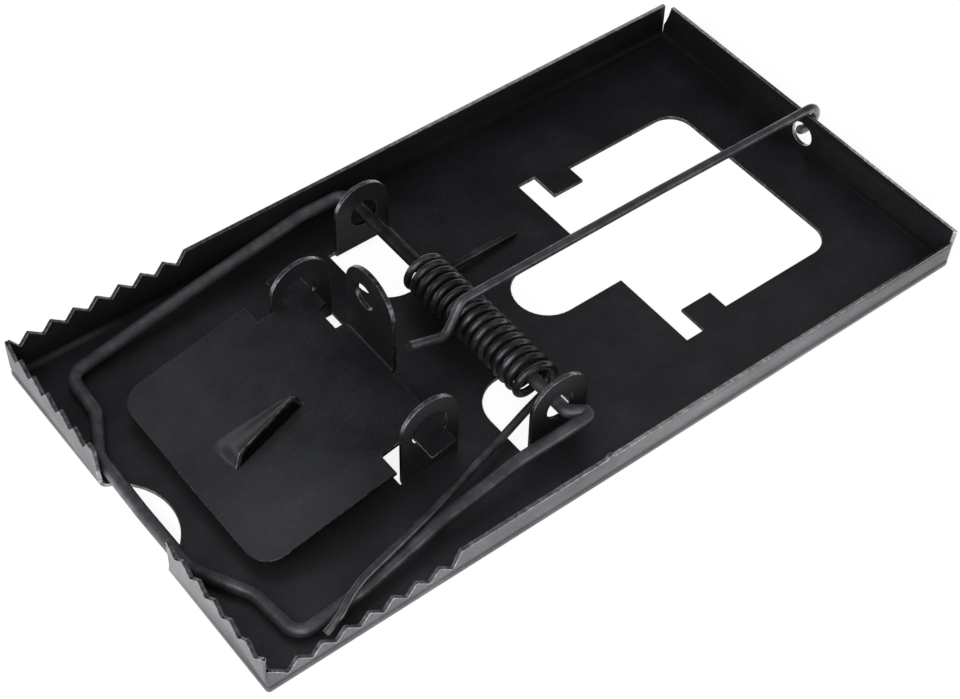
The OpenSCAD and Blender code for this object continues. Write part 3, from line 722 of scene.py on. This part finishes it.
def drawn(name, line, width, sides=16, crop=0.12):
    """Round wire swept along a line in mm, with its cut ends just broken. One way
    across is carried along the line, so that the sweep doesn't twist."""
    ways = []
    for i in range(len(line)):
        ways.append((line[min(i + 1, len(line) - 1)] - line[max(i - 1, 0)]).normalized())
    across = ways[0].orthogonal().normalized()
    spots, faces, spread, gone = [], [], [], 0.0
    rings = []
    for i, (point, way) in enumerate(zip(line, ways)):
        if i:
            gone += (point - line[i - 1]).length
            across = (across - way * across.dot(way)).normalized()
        over = way.cross(across)
        radii = [(0, 1.0)]
        if i == 0:
            radii = [(0, 1 - 2 * crop), (crop * width / 2, 1.0)]
        elif i == len(line) - 1:
            radii = [(-crop * width / 2, 1.0), (0, 1 - 2 * crop)]
        for shift, part in radii:
            ring = []
            for k in range(sides + 1):
                a = math.tau * k / sides
                if k < sides:
                    spots.append((point + way * shift + (across * math.cos(a) + over * math.sin(a))
                                  * width / 2 * part) * 0.001)
                    ring.append(len(spots) - 1)
                spread.append(((gone + shift) * 0.001, a * width / 2 * 0.001))
            rings.append(ring)
    for r in range(len(rings) - 1):
        faces += [(rings[r][k], rings[r][(k + 1) % sides], rings[r + 1][(k + 1) % sides],
                   rings[r + 1][k]) for k in range(sides)]
    faces += [rings[0][::-1], rings[-1]]
    made = bpy.data.meshes.new(name)
    made.from_pydata(spots, [], faces)
    made.shade_smooth()
    made.set_sharp_from_angle(angle=math.radians(50))
    layer = made.uv_layers.new(name="length")
    for number, face in enumerate(made.polygons):
        r, k = divmod(number, sides)
        if r < len(rings) - 1:
            marks = [(r, k), (r, k + 1), (r + 1, k + 1), (r + 1, k)]
            for corner, (ring, turn) in zip(face.loop_indices, marks):
                layer.data[corner].uv = spread[ring * (sides + 1) + turn]
    return made


# hard-drawn wire: dull grey, with die lines that run along it, drawn coarser than the
# real ones so that they show
def drawn_wire(name, deep, mid, bright, gloss, seed, covered=0.0):
    """The first stretch of the wire, as long as what is covered, is painted darker: painted shade
    on the axle in the coil and by the far ear.
    """
    made, tree, out, where = new_finish(name)
    along = add(tree, "Mapping", None, {"Vector": where.outputs["UV"],
                                        "Location": (seed, seed, 0),
                                        "Scale": (PER_MM / 12, PER_MM / 0.16, 1)})
    lines = add(tree, "TexNoise", None, {"Vector": along.outputs[0], "Scale": 1.0,
                                         "Detail": 2.0, "Roughness": 0.6})
    patch = add(tree, "TexNoise", None, {"Vector": where.outputs["Object"],
                                         "Scale": PER_MM / 3.2, "Detail": 4.0,
                                         "Roughness": 0.65})
    mixed = add(tree, "Mix", {"data_type": "FLOAT"}, {
        0: 0.78, 2: lines.outputs["Fac"], 3: patch.outputs["Fac"]})
    gone = add(tree, "SeparateXYZ", None, {0: where.outputs["UV"]})
    # painted shade: the covered stretch of wire is darkened
    painted_shade_covered = add(tree, "MapRange", None, {"Value": gone.outputs["X"], "From Min": covered - 0.005,
                                        "From Max": covered, "To Min": -0.36, "To Max": 0.0})
    wear_and_painted_light = add(tree, "Math", {"operation": "ADD"}, {0: mixed.outputs[0], 1: painted_shade_covered.outputs[0]})
    tone = add(tree, "ValToRGB", {"stops": [(0.10, colour("#2a2b2e")), (0.36, colour(deep)),
                                            (0.50, colour(mid)), (0.64, colour(bright))]},
               {"Fac": wear_and_painted_light.outputs[0]})
    rough = add(tree, "MapRange", None, {
        "Value": mixed.outputs[0], "From Min": 0.35, "From Max": 0.65,
        "To Min": gloss + 0.08, "To Max": gloss - 0.05})
    skin = add(tree, "Bump", None, {"Height": lines.outputs["Fac"], "Distance": 0.00002,
                                    "Strength": 0.2})
    metal = add(tree, "BsdfPrincipled", None, {
        "Base Color": tone.outputs[0], "Metallic": 0.7, "Roughness": rough.outputs[0],
        "Normal": skin.outputs[0]})
    tree.links.new(metal.outputs[0], out.inputs["Surface"])
    return made


# the axle's first stretch, in the coil and through the far ear, gets painted shade
bail_steel = drawn_wire("dull hard-drawn wire", "#58595c", "#6f7073", "#88898c",
                        gloss=0.48, seed=0.0, covered=0.0265)

AXLE_X, AXLE_Z = -4.5, 4.65       # the axle, and with it the middle of the coil
BAR_Z, ARM = 1.47, 40.7           # height of the front bar, run of the arms down to it
BAIL_WIRE = 1.64


def arm_z(x):
    """Height of the bail's arms, from the axle down to its bar."""
    if x < AXLE_X - ARM:
        return BAR_Z
    return AXLE_Z + (AXLE_Z - BAR_Z) * (x - AXLE_X) / ARM


marks = [(AXLE_X, -2.0, AXLE_Z, 0), (AXLE_X, 23.9, AXLE_Z, 1.7)]
marks += [(x, y, arm_z(x), r) for x, y, r in (
    (-10.6, 24.4, 8), (-26, 23.15, 30), (-41, 21.7, 20), (-45.05, 21.25, 1.9),
    (-45.35, 14.9, 2.5), (-48.35, 9.2, 3.0), (-48.5, 0, 60), (-48.35, -9.6, 3.0),
    (-44.6, -16.4, 4.0), (-43.95, -23.4, 1.9), (-35, -23.05, 10), (-24.2, -21.5, 20),
    (-12.6, -20.7, 20))]
marks += [(-1.8, -21.0, 4.8, 0.95), (AXLE_X, -18.9, AXLE_Z, 0.95), (AXLE_X, -3.0, AXLE_Z, 0)]
bail = new_piece("bail_wire", drawn("bail_wire", bent(marks), BAIL_WIRE), bail_steel)
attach(bail, "bail")
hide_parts("bail")

# Torsion spring
# One torsion spring of tempered wire, wound round the axle. Its far end lies on
# the floor behind the coil, and its near end runs over the bail's near arm.

# oil-tempered spring wire: darker and glossier than the bail, with small hard glints;
# in the coil darker than the same wire on the leg, by painted shade
coil_steel_painted_shade = drawn_wire("oil-tempered coil wire with painted shade", "#313235", "#4b4c4f", "#717275",
                          gloss=0.28, seed=0.43)
# the same wire on the moving leg, painted paler than the coil: painted light where the light falls
# on it
leg_steel_painted_light = drawn_wire("spring wire with painted light", "#4d4e51", "#6c6d70", "#929395",
                       gloss=0.32, seed=0.19)

TURNS = 17                        # whole turns, a quarter of the last one moving
PARTED = TURNS - 0.25
COIL_R, COIL_PITCH = 2.4, 1.282   # to the middle of the wire, from turn to turn
COIL_Y = 8.1                      # where the first turn starts
OPEN = 0.3                        # how far the last turn stands off
OPEN_FROM, OPEN_OVER = 15.9, 0.85  # the turn where that starts, and the turns it takes
COIL_WIRE, LEG_WIRE = 0.98, 1.0   # a hair thinner in the coil, to keep its turns apart


def coil_point(turn):
    """Middle of the wire after a number of turns from the foot of the far end."""
    away = OPEN * eased((turn - OPEN_FROM) / OPEN_OVER)
    return Vector((AXLE_X - COIL_R * math.sin(math.tau * turn),
                   COIL_Y - COIL_PITCH * turn - away,
                   AXLE_Z - COIL_R * math.cos(math.tau * turn)))


line = [Vector((10.4, 9.0, 1.1)), Vector((6, 8.75, 1.42)), Vector((1, 8.45, 1.8)),
        Vector((-2.5, 8.22, 2.08))]
line += [coil_point(0.02 + (PARTED - 0.02) * i / 470) for i in range(471)]
coil = new_piece("spring_coil_wire", drawn("spring_coil_wire", line, COIL_WIRE, 14, 0.08),
                 coil_steel_painted_shade)
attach(coil, "base")
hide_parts("spring_coil")

line = [coil_point(PARTED + 0.002 + (0.25 - 0.01) * i / 8) for i in range(9)]
line += bent([(*line[-1], 0), (-7.0, -14.7, 2.28, 2), (-11.4, -16.1, 2.45, 10),
              (-17.5, -18.0, 2.9, 20), (-23.3, -19.95, 3.55, 20), (-29.6, -21.7, 4.15, 20),
              (-35.4, -22.95, 3.95, 5), (-37.5, -23.7, 3.6, 3), (-39.2, -24.5, 2.95, 2),
              (-40.8, -24.95, 2.3, 2), (-41.7, -25.05, 1.95, 0)])[1:]
leg = new_piece("spring_moving_leg", drawn("spring_moving_leg", line, LEG_WIRE, 14, 0.08),
                leg_steel_painted_light)
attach(leg, "bail")
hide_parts("spring_arm")

# Locking rod
# A length of the same drawn wire, thinner: its rear end is hooked through the rear
# wall, it lies on the coil, and its front end is bent down to reach the catch.

# thin hard-drawn wire: as the bail's, a little glossier and darker
rod_steel = drawn_wire("thin hard-drawn wire", "#505154", "#6b6c6f", "#88898c",
                       gloss=0.42, seed=0.77)

ROD_WIRE, ROD_Y = 1.2, -0.8
HOOK_X, HOOK_Z, HOOK_R = 49.725, 5.4, 1.592  # middle and radius of the rear hook
HOOK_END, HOOK_START = -125, 88.5            # its ends, in degrees round that middle
line = [Vector((HOOK_X + HOOK_R * math.cos(a), ROD_Y, HOOK_Z + HOOK_R * math.sin(a)))
        for a in np.linspace(math.radians(HOOK_END), math.radians(HOOK_START), 30)]
line += bent([(*line[-1], 0), (25, -0.85, 7.60, 60), (-5.8, -1.2, 8.25, 1.2),
              (-8.95, -2.3, 5.2, 1.3), (-14.1, -2.2, 6.9, 0)])[1:]
rod = new_piece("locking_rod_wire", drawn("locking_rod_wire", line, ROD_WIRE), rod_steel)
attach(rod, "locking_rod")
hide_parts("locking_rod")
